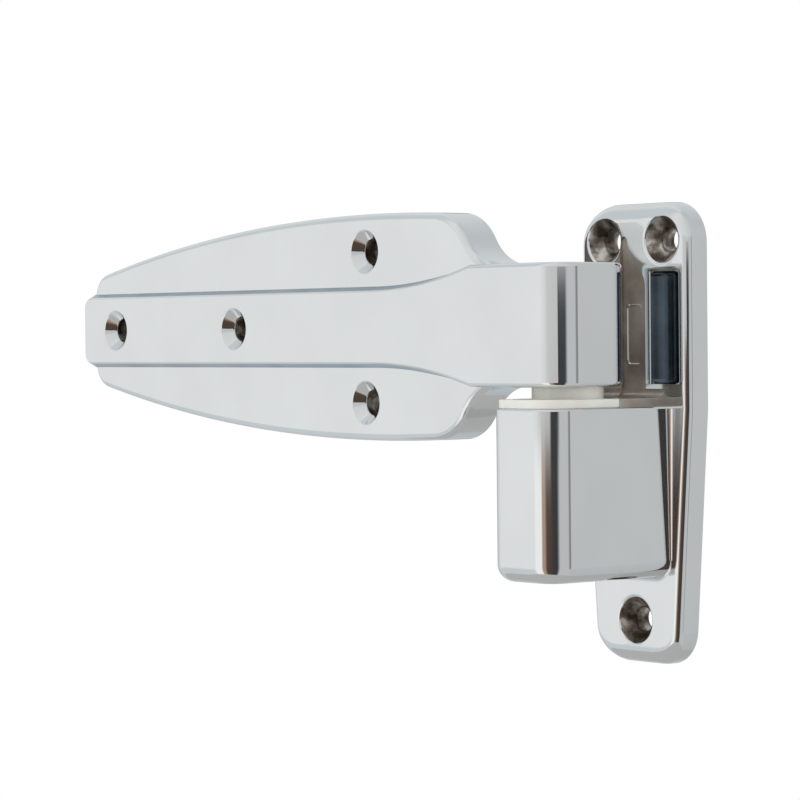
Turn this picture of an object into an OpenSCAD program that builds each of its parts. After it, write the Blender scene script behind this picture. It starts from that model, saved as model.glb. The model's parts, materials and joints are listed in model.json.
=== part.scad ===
// Cam lift hinge for a cold-room door, closed, strap to the left.
// X runs along the wall, -Y faces out of the wall and Z is up. The hinge axis is
// at X = 0, the flange's back is the plane Y = 0, and Z = 0 is the strap's middle.

/* [Hinge line] */
// Distance from the wall to the hinge axis and to the door face under the strap
axis_offset = 35; // [28:0.5:45]
// Diameter of the hinge pin
pin_d = 12.7; // [8:0.1:13.5]
// Length of the pin inside the barrel block
pin_seat = 41; // [25:0.5:44]
// Thickness of metal left over the pin at the top of the knuckle
pin_roof = 3.8; // [2.5:0.1:7]
// Upright room left above the pin
pin_room = 0.5; // [0.2:0.1:1]
// Radial running clearance of the pin
pin_clear = 0.05; // [0.02:0.01:0.1]

/* [Strap] */
// Distance from the hinge axis to the far end of the rib
strap_reach = 229.8; // [196:0.2:260]
// How far the rib stands out past the end of the wings
rib_overhang = 1.4; // [0:0.1:6]
// Height of the strap at its widest
wing_h = 69.6; // [64:0.1:84]
// Distance from the hinge axis to the widest place of the wings
wing_peak = 76; // [66:0.5:90]
// Radius of the long curve of the wing edges
wing_sweep_r = 697; // [580:1:1200]
// Radius of the corners at the far end of the wings
wing_end_r = 8; // [3:0.1:10]
// Thickness of the wings
wing_t = 13.2; // [10:0.1:18]
// Radius of the shoulder where a wing turns towards the knuckle
shoulder_r = 17; // [10:0.5:20]
// Distance from the hinge axis to the centre of the shoulder curve
shoulder_x = 45.3; // [42:0.1:60]
// Radius of the hollow between the shoulder and the knuckle
throat_r = 17.3; // [10:0.1:20]
// Width of the raised rib
rib_w = 24; // [20:0.1:28]
// Height of the rib above the wings
rib_proud = 2.8; // [1:0.1:4]
// Radius of the corners at the far end of the rib
rib_end_r = 3; // [1:0.1:6]
// Distance from the hinge axis to the start of the rib's flare
flare_x = 71.7; // [60:0.1:90]
// Radius of the rib's flare
flare_r = 179; // [100:1:220]
// Wall left around and in front of the cored back
core_wall = 4; // [3:0.1:5.5]
// Distance from the hinge axis to the near end of the cored back
core_x = 42; // [38:0.5:60]

/* [Knuckle] */
// Height of the knuckle
knuckle_h = 36; // [32:0.1:42]
// Distance from the hinge axis to the knuckle's outer side
knuckle_side = 13.4; // [12.9:0.1:18]
// Distance from the hinge axis to the knuckle's back
knuckle_rear = 14.4; // [13.2:0.1:20]
// Radius of the knuckle's upright corners
knuckle_r = 8.9; // [5:0.1:11]
// Radius of the knuckle's upper and lower rims
knuckle_rim_r = 1.4; // [0.5:0.1:2]

/* [Flange] */
// Width of the flange plate at the top
flange_w = 45.6; // [44:0.1:58]
// Width of the flange plate at the foot
flange_foot_w = 34.6; // [32:0.1:44]
// Height of the flange's top above the strap's middle
flange_top = 35.9; // [34:0.1:44]
// Height of the whole flange plate
flange_h = 136.5; // [128:0.1:160]
// Depth below the strap's middle where the plate starts to taper
flange_taper_z = 25; // [20:0.5:40]
// Thickness of the flange plate
plate_t = 8.8; // [8:0.1:14]
// Radius of the plate's upper corners
plate_top_r = 12; // [8:0.1:15]
// Radius of the plate's lower corners
plate_foot_r = 11; // [6:0.1:13]
// Radius of the plate's rounded top and foot
plate_crown_r = 5.7; // [3:0.1:7]
// Radius of the plate's rounded front side edges
plate_edge_r = 2.5; // [1:0.1:4]

/* [Barrel block] */
// Width of the barrel block
block_w = 28; // [27:0.1:34]
// Height of the barrel block
block_h = 50.2; // [48:0.1:56]
// Distance from the hinge axis to the block's front
block_front = 20; // [17:0.1:24]
// Radius of the block's upright front corners
block_r = 8.5; // [6:0.1:11]
// Radius of the block's lower edges
block_foot_r = 5; // [2:0.1:7]
// Radius of the hollow between the block and the plate
block_root_r = 3; // [1:0.1:4]
// Thickness of metal around the cored back of the block
block_wall = 4; // [3:0.1:5]

/* [Recesses of the flange] */
// Half the width of the recessed land behind the knuckle
land_half_w = 5.3; // [4:0.1:5.8]
// Depth of the recessed land
land_depth = 0.8; // [0.4:0.1:2]
// Radius of the tip of the land's tongue
tongue_tip_r = 1.6; // [0.8:0.1:2]
// Height of the tongue's tip above the middle of the upper holes
tongue_rise = 1.3; // [0:0.1:2]
// Depth below the scoops' top where the land narrows to the tongue
tongue_drop = 4; // [2:0.1:6]
// Width of the plain frame cast on the land
badge_w = 6.1; // [4:0.1:7]
// Height of the plain frame
badge_h = 17.8; // [10:0.1:19]
// Depth of the frame's middle below the strap's middle
badge_drop = 2.9; // [0:0.1:5]
// Width of the frame's rim
badge_rim = 0.6; // [0.4:0.1:1]
// Height by which the frame stands out from the land
badge_out = 0.4; // [0.2:0.1:0.6]
// Radius of the frame's corners
badge_r = 1.3; // [1.1:0.1:1.8]
// Width of the ridge between the land and each scoop
ridge_w = 1.9; // [1:0.1:3]
// Depth of the scoops
scoop_depth = 4; // [2:0.1:5.5]
// Width of the scoops
scoop_w = 13.4; // [10:0.1:14]
// Height of the scoops' top above the strap's middle
scoop_top = 15.5; // [12:0.1:16.5]
// Depth of the scoops' foot below the strap's middle
scoop_foot = 17.6; // [14:0.1:20]

/* [Screw holes] */
// Diameter of the screw holes
hole_d = 7; // [5:0.1:8]
// Diameter of the strap's countersinks
strap_sink_d = 13; // [11:0.1:16]
// Diameter of the flange's countersinks
flange_sink_d = 13.8; // [11:0.1:15]
// Diameter of the bosses behind the strap's holes
boss_d = 17; // [14:0.1:20]
// Distance from the hinge axis to the pair of wing holes
wing_hole_x = 78; // [70:0.5:95]
// Spacing of the two wing holes
wing_hole_gap = 46.5; // [42:0.1:50]
// Distance from the hinge axis to the near rib hole
rib_hole_x = 143; // [120:0.5:150]
// Distance from the far end of the rib to the far rib hole
rib_hole_end = 18.8; // [14:0.1:30]
// Spacing of the flange's two upper holes
upper_hole_gap = 24.5; // [24.2:0.1:28]
// Height of the upper holes above the strap's middle
upper_hole_z = 24.8; // [24:0.1:26]
// Distance of the lower hole above the flange's foot
lower_hole_up = 12.9; // [10:0.1:14]

/* [Cams] */
// Height of the open gap between the block and the closed knuckle
cam_space = 6.1; // [5:0.1:10]
// Thickness of the lower cam's plate
cam_plate_t = 2.6; // [2:0.1:4]
// Distance by which the plate and the ledge stand in from the block's sides
cam_inset = 0.8; // [0.5:0.1:2]
// Distance from the hinge axis to the front of the metal ledge
ledge_back = 8.2; // [7:0.1:14]
// Radius of the hollow between the ledge and the plate
ledge_root_r = 2.5; // [1:0.1:3]
// Diameter of the cams' ramps
cam_d = 21; // [18:0.1:21.5]
// Lift of the strap over a quarter turn
cam_rise = 9.5; // [6:0.1:10]
// Height of the lowest place of the ramps inside the knuckle
cam_sunk = 0.8; // [0.4:0.1:2]
// Thickness of the upper cam above its ramps
cam_crown_t = 4; // [3:0.1:5]
// Width of the upper cam's two keys
key_w = 4; // [3:0.1:6]
// Height by which the keys stand out from the upper cam
key_out = 1.6; // [1:0.1:1.8]
// Upright gap between the two cams' ramps
cam_gap = 0.35; // [0.2:0.05:0.6]
// Radial clearance of the lower cam in the knuckle, and of both cams on the pin
cam_clear = 0.4; // [0.3:0.05:0.6]
// Clearance of the upper cam in its seat, and of the lower cam at the ledge
seat_clear = 0.1; // [0.05:0.01:0.2]

/* [Hidden] */
$fn = 64;
arc_sag = 0.04;
tongue_steps = 8;
ramp_step = 5;
spill = 1;
chrome = [0.80, 0.81, 0.82];
steel = [0.62, 0.63, 0.65];
plastic = [0.93, 0.93, 0.90];

axis_y = -axis_offset;
pin_r = pin_d / 2;
pin_tip = 1;
bore_r = pin_r + pin_clear;

knuckle_top = knuckle_h / 2;
door_y = axis_y;
wing_y = door_y - wing_t;
rib_y = wing_y - rib_proud;
knuckle_y = axis_y + knuckle_rear;
wing_reach = strap_reach - rib_overhang;
core_depth = wing_t - core_wall;

flange_bottom = flange_top - flange_h;
plate_y = -plate_t;
block_top = -knuckle_top - cam_space;
block_bottom = block_top - block_h;
block_y = axis_y - block_front;
block_half = block_w / 2;
ledge_top = block_top + cam_plate_t;
ledge_y = axis_y + ledge_back;
lower_hole_z = flange_bottom + lower_hole_up;
tip_z = upper_hole_z + tongue_rise - tongue_tip_r;

cam_r = cam_d / 2;
ramp_low = -knuckle_top + cam_sunk;
ramp_high = ramp_low + cam_rise;
crown_low = ramp_high + cam_gap;
cam_top = crown_low + cam_crown_t;
counter_r = cam_r + cam_clear;
cam_bore_r = pin_r + cam_clear;
pin_top = knuckle_top - pin_roof;
pin_bottom = block_top - pin_seat;

// Points of an arc about a centre, from one angle up to, but not including, another;
// d draws the arc by that much smaller, with the same number of points
function arc(c, r, a0, a1, d = 0) =
    let (n = max(2, ceil(abs(a1 - a0) / acos(1 - arc_sag / r) / 2)))
    let (drawn_r = max(arc_sag, r - d))
    [for (i = [0 : n - 1]) let (a = a0 + (a1 - a0) * i / n) c + drawn_r * [cos(a), sin(a)]];

// Direction from one point to another
function bearing(a, b) = atan2(b[1] - a[1], b[0] - a[0]);

// The same points below the middle line, in the other order
function mirrored(p) = [for (i = [len(p) - 1 : -1 : 0]) [p[i][0], -p[i][1]]];

// Centre of a curve that touches the long wing edge from inside, at a given x
function under_sweep(x, r, c) = [x, c[1] + sqrt(pow(wing_sweep_r - r, 2) - pow(x - c[0], 2))];

// Upper edge of the wings, moved inwards by d: end corner, long sweep, shoulder, throat
function wing_edge(d) =
    let (sweep_c = [-wing_peak, wing_h / 2 - wing_sweep_r])
    let (end_c = under_sweep(-wing_reach + wing_end_r, wing_end_r, sweep_c))
    let (shoulder_c = under_sweep(-shoulder_x, shoulder_r, sweep_c))
    let (throat_z = knuckle_top + throat_r)
    let (reach = sqrt(pow(shoulder_r + throat_r, 2) - pow(shoulder_c[1] - throat_z, 2)))
    let (throat_c = [shoulder_c[0] + reach, throat_z])
    let (a_end = bearing(sweep_c, end_c))
    let (a_shoulder = bearing(sweep_c, shoulder_c))
    let (a_throat = bearing(shoulder_c, throat_c))
    concat(
        arc(end_c, wing_end_r, 180, a_end, d),
        arc(sweep_c, wing_sweep_r, a_end, a_shoulder, d),
        arc(shoulder_c, shoulder_r, a_shoulder, a_throat, d),
        arc(throat_c, throat_r, a_throat + 180, 270, -d),
        [[throat_c[0], knuckle_top - d]]);

// Closed outline of both wings, moved inwards by d
function wing_outline(d) = concat(wing_edge(d), mirrored(wing_edge(d)));

// Upper edge of the rib: end corner, straight stretch, flare up to the knuckle
function rib_edge() =
    let (half = rib_w / 2)
    let (a_flare = acos(1 - (knuckle_top - half) / flare_r))
    concat(
        arc([-strap_reach + rib_end_r, half - rib_end_r], rib_end_r, 180, 90),
        [[-strap_reach + rib_end_r, half]],
        arc([-flare_x, half + flare_r], flare_r, 270, 270 + a_flare),
        [[-flare_x + flare_r * sin(a_flare), knuckle_top], [0, knuckle_top]]);

// Right edge of the plate from the top to the foot: corner, taper, corner
function plate_edge() =
    let (top_c = [flange_w / 2 - plate_top_r, flange_top - plate_top_r])
    let (fall = -flange_taper_z - flange_bottom)
    let (lean = atan((flange_w - flange_foot_w) / 2 / fall))
    let (foot_z = flange_bottom + plate_foot_r)
    let (foot_x = flange_foot_w / 2 + plate_foot_r * (tan(lean) - 1 / cos(lean)))
    concat(
        arc(top_c, plate_top_r, 90, 0),
        [[flange_w / 2, top_c[1]], [flange_w / 2, -flange_taper_z]],
        arc([foot_x, foot_z], plate_foot_r, -lean, -90),
        [[foot_x, flange_bottom]]);

// Right edge of the land's tongue, which eases from the full width to the tip
function tongue_edge() =
    let (x0 = land_half_w, x1 = 2 * tongue_tip_r - land_half_w)
    let (z0 = scoop_top - tongue_drop)
    [for (i = [0 : tongue_steps - 1])
        let (t = i / tongue_steps)
        [x0 + (x1 - x0) * (1 - cos(180 * t)) / 2, z0 + (tip_z - z0) * t]];

// Right edge turned over to the left, in the other order
function turned(p) = [for (i = [len(p) - 1 : -1 : 0]) [-p[i][0], p[i][1]]];

// Closed outline of the plate
function plate_outline() = concat(plate_edge(), turned(plate_edge()));

// Solid of a front-view outline between two depths
module from_front(y_front, y_back) {
    translate([0, y_back, 0]) rotate([90, 0, 0]) linear_extrude(y_back - y_front) children();
}

// Solid of a side-view outline, drawn as depth and height, across a given width
module from_side(half_w) {
    rotate([90, 0, 90]) translate([0, 0, -half_w]) linear_extrude(2 * half_w) children();
}

// Solid of a plan outline between two heights
module from_top(z_low, z_high) {
    translate([0, 0, z_low]) linear_extrude(z_high - z_low) children();
}

// Rectangle with round corners
module round_rect(x0, x1, y0, y1, r) {
    translate([x0 + r, y0]) square([x1 - x0 - 2 * r, y1 - y0]);
    translate([x0, y0 + r]) square([x1 - x0, y1 - y0 - 2 * r]);
    for (x = [x0 + r, x1 - r], y = [y0 + r, y1 - r]) translate([x, y]) circle(r);
}

// Upright post with round rims
module post(x, y, r, z_low, z_high, rim_r) {
    translate([x, y, 0]) rotate_extrude() intersection() {
        round_rect(-r, r, z_low, z_high, rim_r);
        translate([0, z_low]) square([r, z_high - z_low]);
    }
}

// Block with round upright corners and smaller round rims above and below
module soft_block(x0, x1, y0, y1, z0, z1, r, rim_r) {
    translate([(x0 + x1) / 2, 0, 0]) from_side((x1 - x0) / 2 - r) round_rect(y0, y1, z0, z1, rim_r);
    from_front(y0 + r, y1 - r) round_rect(x0, x1, z0, z1, rim_r);
    for (x = [x0 + r, x1 - r], y = [y0 + r, y1 - r]) post(x, y, r, z0, z1, rim_r);
}

// Upright cylinder about the hinge axis
module about_axis(r, z_low, z_high) {
    translate([0, axis_y, z_low]) cylinder(r = r, h = z_high - z_low);
}

// Countersunk screw hole that enters at a face and leaves at a back plane
module screw_hole(x, z, y_face, y_back, sink_d) {
    sink = (sink_d - hole_d) / 2;
    translate([x, y_back + spill, z]) rotate([90, 0, 0])
        cylinder(d = hole_d, h = y_back - y_face + 2 * spill);
    translate([x, y_face + sink, z]) rotate([90, 0, 0])
        cylinder(d1 = hole_d, d2 = sink_d + 2 * spill, h = sink + spill);
}

// The four screw holes of the strap, as places in the front view
strap_holes = [
    [-wing_hole_x, wing_hole_gap / 2, wing_y],
    [-wing_hole_x, -wing_hole_gap / 2, wing_y],
    [-rib_hole_x, 0, rib_y],
    [-strap_reach + rib_hole_end, 0, rib_y]];

// Two tapered wings in one outline
module wings() {
    from_front(wing_y, door_y) polygon(wing_outline(0));
}

// Raised rib that widens into the knuckle
module rib() {
    intersection() {
        from_front(rib_y, door_y) polygon(concat(rib_edge(), mirrored(rib_edge())));
        from_side(strap_reach) round_rect(rib_y, -rib_y, -knuckle_top, knuckle_top, knuckle_rim_r);
    }
}

// Rounded knuckle about the hinge axis
module knuckle() {
    soft_block(-knuckle_rear, knuckle_side, rib_y, knuckle_y, -knuckle_top, knuckle_top,
        knuckle_r, knuckle_rim_r);
}

// Hollow in the back of the strap, with a boss left around each screw hole
module strap_core() {
    difference() {
        intersection() {
            from_front(door_y - core_depth, door_y + spill) polygon(wing_outline(core_wall));
            translate([-strap_reach, wing_y, -wing_h])
                cube([strap_reach - core_x, 2 * wing_t, 2 * wing_h]);
        }
        for (h = strap_holes)
            translate([h[0], door_y + 2 * spill, h[1]]) rotate([90, 0, 0])
                cylinder(d = boss_d, h = wing_t + spill);
    }
}

// Slots that the upper cam's keys sit in
module key_ways(clear) {
    reach = cam_r + key_out + clear;
    translate([-key_w / 2 - clear, axis_y - reach, crown_low])
        cube([key_w + 2 * clear, 2 * reach, cam_top - crown_low]);
}

module strap() {
    color(chrome) difference() {
        union() {
            wings();
            rib();
            knuckle();
        }
        strap_core();
        for (h = strap_holes) screw_hole(h[0], h[1], h[2], door_y, strap_sink_d);
        about_axis(counter_r, -knuckle_top - spill, cam_top);
        about_axis(bore_r, cam_top - spill, pin_top + pin_room);
        key_ways(seat_clear);
    }
}

// Wall plate, rounded along its front edges
module plate() {
    intersection() {
        from_front(plate_y, 0) polygon(plate_outline());
        from_side(flange_w) round_rect(plate_y, plate_t, flange_bottom, flange_top, plate_crown_r);
        from_top(flange_bottom, flange_top)
            round_rect(-flange_w / 2, flange_w / 2, plate_y, plate_t, plate_edge_r);
    }
}

// Barrel block, round at its front corners and its lower edges
module block() {
    over = block_top + 2 * block_foot_r;
    intersection() {
        soft_block(-block_half, block_half, block_y, -block_y, block_bottom, over,
            block_r, block_foot_r);
        translate([-block_half, block_y, block_bottom])
            cube([block_w, plate_y / 2 - block_y, block_h]);
    }
}

// Section of a hollow fillet, in the corner of two walls that meet at a point
module hollow(x, y, r) {
    difference() {
        translate([x, y - r]) square(r);
        translate([x + r, y - r]) circle(r);
    }
}

// Hollow fillets where the block's sides and its foot meet the plate
module block_roots() {
    corner_x = block_half - block_foot_r;
    corner_z = block_bottom + block_foot_r;
    reach = block_foot_r + block_root_r;
    intersection() {
        union() {
            from_side(corner_x) rotate(-90) hollow(-block_bottom, plate_y, block_root_r);
            for (s = [0, 1]) mirror([s, 0, 0]) {
                from_top(corner_z, block_top) hollow(block_half, plate_y, block_root_r);
                intersection() {
                    translate([corner_x, 0, corner_z]) rotate([-90, 0, 0]) rotate_extrude()
                        hollow(block_foot_r, plate_y, block_root_r);
                    translate([corner_x, block_y, corner_z - reach]) cube([reach, axis_offset, reach]);
                }
            }
        }
        from_front(block_y, 0) polygon(plate_outline());
    }
}

// Metal ledge that the back of the lower cam meets
module ledge() {
    half = block_half - cam_inset;
    translate([-half, ledge_y, block_top - spill])
        cube([2 * half, plate_y / 2 - ledge_y, cam_plate_t + spill]);
}

// Hollow fillet above the ledge, against a face at a given depth
module ledge_root(half_w, y) {
    from_side(half_w) mirror([1, -1]) hollow(ledge_top, y, ledge_root_r);
}

// Plain frame that stands on the floor of the land
module badge_frame() {
    half = badge_w / 2;
    low = -badge_drop - badge_h / 2;
    high = low + badge_h;
    floor_y = plate_y + land_depth;
    from_front(floor_y - badge_out, floor_y + spill) difference() {
        round_rect(-half, half, low, high, badge_r);
        round_rect(-half + badge_rim, half - badge_rim, low + badge_rim, high - badge_rim,
            badge_r - badge_rim);
    }
}

// Recessed land, with a tongue that runs up between the two upper holes
module land() {
    tip_c = [tongue_tip_r - land_half_w, tip_z];
    difference() {
        from_front(plate_y - ledge_root_r, plate_y + land_depth) polygon(concat(
            [[-land_half_w, ledge_top], [land_half_w, ledge_top]],
            tongue_edge(),
            arc(tip_c, tongue_tip_r, 0, 180),
            [[-land_half_w, tip_z]]));
        ledge_root(block_half, plate_y + land_depth);
        badge_frame();
    }
}

// Scooped channels on both sides of the land
module scoops() {
    r = (pow(scoop_w / 2, 2) + pow(scoop_depth, 2)) / 2 / scoop_depth;
    for (s = [-1, 1])
        translate([s * (land_half_w + ridge_w + scoop_w / 2), plate_y + scoop_depth - r, -scoop_foot])
            cylinder(r = r, h = scoop_top + scoop_foot);
}

// Hollow in the back of the block, behind the boss of the pin
module block_core() {
    half = block_half - block_wall;
    difference() {
        translate([-half, axis_y, block_bottom + block_wall])
            cube([2 * half, axis_offset + spill, block_h - 2 * block_wall]);
        about_axis(half + spill, block_bottom, block_top);
    }
}

module flange() {
    color(chrome) difference() {
        union() {
            plate();
            block();
            block_roots();
            ledge();
            ledge_root(block_half - cam_inset, plate_y);
        }
        land();
        scoops();
        block_core();
        about_axis(bore_r, pin_bottom, block_top + spill);
        for (s = [-1, 1])
            screw_hole(s * upper_hole_gap / 2, upper_hole_z, plate_y, 0, flange_sink_d);
        screw_hole(0, lower_hole_z, plate_y, 0, flange_sink_d);
    }
}

// Share of the lift at an angle: 0 in the two valleys, 1 on the two peaks
function lobe(a) = let (m = a % 180) min(m, 180 - m) / 90;

// Ring with a flat foot and a top that climbs and falls as two pairs of helical ramps
module ramp_ring(r_in, r_out, z_foot, z_valley) {
    n = 360 / ramp_step;
    points = [for (i = [0 : n - 1])
        let (a = i * ramp_step, z = z_valley + cam_rise * lobe(a))
        each [
            [r_in * cos(a), r_in * sin(a), z], [r_out * cos(a), r_out * sin(a), z],
            [r_in * cos(a), r_in * sin(a), z_foot], [r_out * cos(a), r_out * sin(a), z_foot]]];
    faces = [for (i = [0 : n - 1])
        let (a = 4 * i, b = 4 * ((i + 1) % n))
        each [
            [a, b, a + 1], [b, b + 1, a + 1],
            [a + 1, b + 1, a + 3], [b + 1, b + 3, a + 3],
            [a + 3, b + 3, a + 2], [b + 3, b + 2, a + 2],
            [a + 2, b + 2, a], [b + 2, b, a]]];
    translate([0, axis_y, 0]) polyhedron(points, faces);
}

module lower_cam() {
    half = block_half - cam_inset;
    front = block_y + cam_inset;
    back = ledge_y - seat_clear;
    corner = block_r - cam_inset;
    color(plastic) difference() {
        union() {
            from_top(block_top, ledge_top) intersection() {
                round_rect(-half, half, front, -front, corner);
                translate([-half, front]) square([2 * half, back - front]);
            }
            intersection() {
                about_axis(cam_r, ledge_top, ramp_high + spill);
                ramp_ring(pin_r / 2, cam_d, ledge_top, ramp_low);
            }
        }
        about_axis(cam_bore_r, block_top - spill, ramp_high + spill);
    }
}

module upper_cam() {
    color(plastic) difference() {
        union() {
            about_axis(counter_r - seat_clear, ramp_low, cam_top);
            intersection() {
                key_ways(0);
                about_axis(cam_r + key_out, crown_low, cam_top);
            }
        }
        ramp_ring(pin_r / 2, cam_d, ramp_low - spill, ramp_low + cam_gap);
        about_axis(cam_bore_r, ramp_low - spill, cam_top + spill);
    }
}

module hinge_pin() {
    color(steel) translate([0, axis_y, 0]) rotate_extrude() polygon([
        [0, pin_bottom], [pin_r - pin_tip, pin_bottom], [pin_r, pin_bottom + pin_tip],
        [pin_r, pin_top - pin_tip], [pin_r - pin_tip, pin_top], [0, pin_top]]);
}

flange();
strap();
lower_cam();
upper_cam();
hinge_pin();
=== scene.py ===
# %% [markdown]
# # A chrome cam lift hinge
# This hinge hangs a cold-room door. A flange is screwed to the door frame, a long
# strap is screwed to the door, and two plastic cams between them lift the strap as
# the door swings open. The solids already have their places and sizes. This lesson
# gives them the soft edges of a polished casting, and the surroundings that a mirror
# of chrome needs before it looks like metal.

# %% Load the frame
import json
import math

import bmesh
import bpy
from mathutils import Matrix, Vector


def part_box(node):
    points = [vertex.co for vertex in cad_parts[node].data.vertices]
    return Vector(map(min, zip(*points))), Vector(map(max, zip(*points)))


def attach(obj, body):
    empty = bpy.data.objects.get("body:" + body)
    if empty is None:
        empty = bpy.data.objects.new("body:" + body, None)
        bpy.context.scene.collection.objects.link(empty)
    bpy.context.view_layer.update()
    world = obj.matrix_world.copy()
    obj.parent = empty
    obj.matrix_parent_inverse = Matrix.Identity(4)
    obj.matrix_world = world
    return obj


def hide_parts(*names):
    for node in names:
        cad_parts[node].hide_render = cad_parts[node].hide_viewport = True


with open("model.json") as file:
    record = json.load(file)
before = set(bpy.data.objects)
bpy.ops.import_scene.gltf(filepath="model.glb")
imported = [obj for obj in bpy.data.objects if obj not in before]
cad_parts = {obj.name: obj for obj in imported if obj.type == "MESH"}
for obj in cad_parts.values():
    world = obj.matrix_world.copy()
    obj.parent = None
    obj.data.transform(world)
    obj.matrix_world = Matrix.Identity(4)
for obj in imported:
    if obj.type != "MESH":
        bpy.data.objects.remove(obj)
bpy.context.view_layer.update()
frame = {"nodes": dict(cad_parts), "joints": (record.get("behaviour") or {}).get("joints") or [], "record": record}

MM = 0.001

# %% [markdown]
# ## Sizes
# X runs along the wall, -Y comes out of the wall and Z is up. What the frame knows is
# read from it: the boxes of the solids, the hinge axis and the screw holes. The other
# sizes are those of the casting, in millimetres, and the pieces are drawn in
# millimetres and scaled once, when they become objects.

# %% Sizes from the frame
mounts = {m["name"]: m for m in frame["record"]["mounts"]}


def box_mm(node):
    low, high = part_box(node)
    return low / MM, high / MM


def hole_places(name):
    """Middles of the one or two screw holes of a mount, as x and z."""
    mount = mounts[name]
    x, _, z = (c / MM for c in mount["pos_m"])
    half_x = mount["dims"].get("spacing_x_mm", 0) / 2
    half_z = mount["dims"].get("spacing_y_mm", 0) / 2
    return sorted({(x - half_x, z - half_z), (x + half_x, z + half_z)})


flange_low, flange_high = box_mm("flange")
strap_low, strap_high = box_mm("strap")
cam_low, cam_high = box_mm("lower_cam")
pin_low, pin_high = box_mm("hinge_pin")
AXIS_Y = frame["joints"][0]["pos_m"][1] / MM
DOOR_Y = AXIS_Y
RIB_Y = strap_low.y
BLOCK_TOP = cam_low.z
WING_HOLES = hole_places("strap_wing_holes")
RIB_HOLES = hole_places("strap_rib_holes")
FLANGE_HOLES = hole_places("flange_upper_holes") + hole_places("flange_lower_hole")
print("hinge axis at y", AXIS_Y, "block top at z", round(BLOCK_TOP, 2))

# %% Sizes of the casting
WING_T = 13.2
WING_Y = DOOR_Y - WING_T
RIB_PROUD = WING_Y - RIB_Y
KNUCKLE_TOP = 18
KNUCKLE_R = 8.9
PLATE_T = 8.8
BLOCK_HALF = 14
BLOCK_H = 50.2
LEDGE_TOP = BLOCK_TOP + 2.6
LEDGE_Y = AXIS_Y + 8.2
HOLE_R = 3.5
STRAP_SINK_R = 6.5
FLANGE_SINK_R = 6.9
PIN_R = pin_high.x
CAM_R = 10.5
CAM_RISE = 9.5

# %% [markdown]
# ## Drawing helpers
# A casting's outline is a chain of straight runs and arcs that flow into each other.
# In Blender such a chain can be drawn by spinning its last vertex about the centre of
# each arc. Extruding the closed chain, ring by ring, then gives walls, drafts and
# round edges with even quads, which mirror-bright metal needs: a stray long triangle
# shows in it at once.

# %% Chains and rings


def near(value, target):
    return abs(value - target) < 1e-3


def chain_from(bm, x, z, y=0.0):
    return [bm.verts.new((x, y, z))]


def run_to(bm, chain, x, z):
    """Draws a straight run from the chain's last vertex."""
    chain.append(bm.verts.new((x, chain[-1].co.y, z)))
    bm.edges.new(chain[-2:])


def arc_to(bm, chain, centre, turn, steps, axis="Y"):
    """Spins the last vertex about a centre, in degrees, and keeps each step's vertex."""
    a, b = centre
    cent, along = {"X": ((0, a, b), (1, 0, 0)), "Y": ((a, 0, b), (0, -1, 0)),
                   "Z": ((a, b, 0), (0, 0, 1))}[axis]
    for _ in range(steps):
        spun = bmesh.ops.spin(bm, geom=[chain[-1]], cent=cent, axis=along,
                              angle=math.radians(turn / steps), steps=1)
        chain.append(next(v for v in spun["geom_last"] if isinstance(v, bmesh.types.BMVert)))


def raise_face(bm, face, by):
    """Extrudes a face into a solid, by a vector."""
    raised = bmesh.ops.extrude_face_region(bm, geom=[face])
    bmesh.ops.translate(bm, vec=by, verts=[g for g in raised["geom"] if isinstance(g, bmesh.types.BMVert)])
    bmesh.ops.recalc_face_normals(bm, faces=bm.faces)


def close_mirrored(bm, chain, flip):
    """Closes a half outline with its mirror image; flip is (-1, 1) or (1, -1)."""
    other = [bm.verts.new((v.co.x * flip[0], v.co.y, v.co.z * flip[1])) for v in reversed(chain)]
    ring = chain + other
    for a, b in zip(ring, ring[1:] + ring[:1]):
        if bm.edges.get((a, b)) is None:
            bm.edges.new((a, b))
    return ring


def next_ring(bm, ring):
    """Extrudes a closed ring and returns the new ring in the same order."""
    edges = [bm.edges.get((a, b)) for a, b in zip(ring, ring[1:] + ring[:1])]
    made = {g for g in bmesh.ops.extrude_edge_only(bm, edges=edges)["geom"]
            if isinstance(g, bmesh.types.BMVert)}
    return [next(e.other_vert(v) for e in v.link_edges if e.other_vert(v) in made) for v in ring]


def inward(ring):
    """Unit directions into a ring that runs clockwise in the front view."""
    out = []
    for i in range(len(ring)):
        run = ring[(i + 1) % len(ring)].co - ring[i - 1].co
        out.append(Vector((run.z, 0, -run.x)).normalized())
    return out


def place_ring(ring, base, dirs, insets, depths):
    """Sets each vertex of a ring at its inset from the base outline and at its depth."""
    for v, at, into, inset, y in zip(ring, base, dirs, insets, depths):
        v.co = at + into * inset
        v.co.y = y


def rounded_slab(bm, ring, y_front, y_back, radii, segments, back_r=0.4):
    """Solid from a ring, with a round front edge whose radius may vary along the ring."""
    back, base, dirs, count = ring, [v.co.copy() for v in ring], inward(ring), len(ring)
    place_ring(back, base, dirs, [back_r] * count, [y_back] * count)
    ring = next_ring(bm, back)
    place_ring(ring, base, dirs, [0] * count, [y_back - back_r] * count)
    for i in range(segments + 1):
        angle = math.pi / 2 * i / segments
        ring = next_ring(bm, ring)
        place_ring(ring, base, dirs, [r * (1 - math.cos(angle)) for r in radii],
                   [y_front + r * (1 - math.sin(angle)) for r in radii])
    bm.faces.new(ring)
    bm.faces.new(list(reversed(back)))


def round_edges(bm, edges, radius, segments, clamp=False):
    """Rounds edges over, as a filed or cast edge is."""
    bmesh.ops.bevel(bm, geom=edges, offset=radius, affect="EDGES", segments=segments, profile=0.5,
                    material=-1, clamp_overlap=clamp)


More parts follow.
